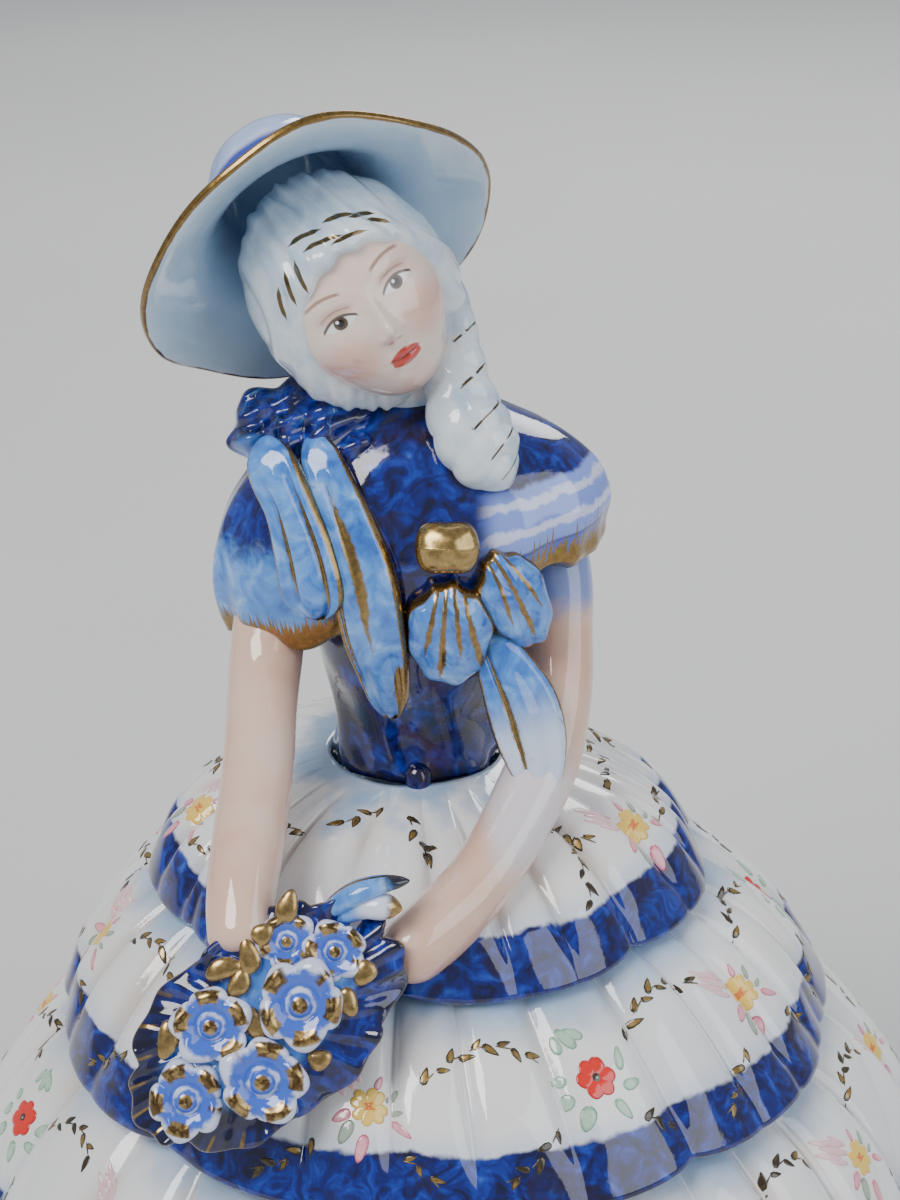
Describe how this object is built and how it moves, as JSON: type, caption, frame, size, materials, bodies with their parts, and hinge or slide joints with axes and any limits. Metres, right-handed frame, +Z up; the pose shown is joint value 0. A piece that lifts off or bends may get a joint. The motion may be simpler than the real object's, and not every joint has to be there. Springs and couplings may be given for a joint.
{
  "type": "porcelain figurine",
  "caption": "Standing porcelain lady in a tiered, pleated crinoline, wearing a wide-brimmed hat and holding a bouquet; hollow skirt, open at the foot.",
  "frame": {"origin": "centre of the foot ring, on the surface the figurine stands on", "axes": "+Z up, the lady faces -Y, her right hand is towards -X"},
  "size_m": [0.1746, 0.1746, 0.2035],
  "materials": {
    "skirt_porcelain": "clear-glazed hand-painted porcelain, opaque",
    "cobalt_glaze": "clear-glazed hand-painted porcelain, opaque",
    "flesh_glaze": "clear-glazed hand-painted porcelain, opaque",
    "face_and_hair": "clear-glazed hand-painted porcelain, opaque",
    "hair_glaze": "clear-glazed hand-painted porcelain, opaque",
    "hat_glaze": "clear-glazed hand-painted porcelain, opaque",
    "blue_glaze": "clear-glazed hand-painted porcelain, opaque",
    "gold_lustre": "overglaze gold lustre on glazed porcelain, thinly worn"
  },
  "bodies": {
    "root": {"skirt_flounce_1": "skirt_porcelain", "skirt_flounce_2": "skirt_porcelain", "skirt_flounce_3": "skirt_porcelain", "skirt_flounce_4": "skirt_porcelain", "bodice": "cobalt_glaze", "shoulder_cape": "cobalt_glaze", "neck_ruffle": "cobalt_glaze", "right_arm": "flesh_glaze", "left_arm": "flesh_glaze", "head": "face_and_hair", "braid": "hair_glaze", "hat": "hat_glaze", "scarf_inner": "blue_glaze", "scarf_outer": "blue_glaze", "bow_loop": "blue_glaze", "bow_loop_side": "blue_glaze", "sash": "blue_glaze", "brooch": "gold_lustre", "bouquet_wrapper": "cobalt_glaze", "bouquet_stalks": "cobalt_glaze", "bouquet_bud": "blue_glaze", "flower_1": "blue_glaze", "flower_2": "blue_glaze", "flower_3": "blue_glaze", "flower_4": "blue_glaze", "flower_5": "blue_glaze", "flower_6": "blue_glaze"}
  },
  "joints": []
}
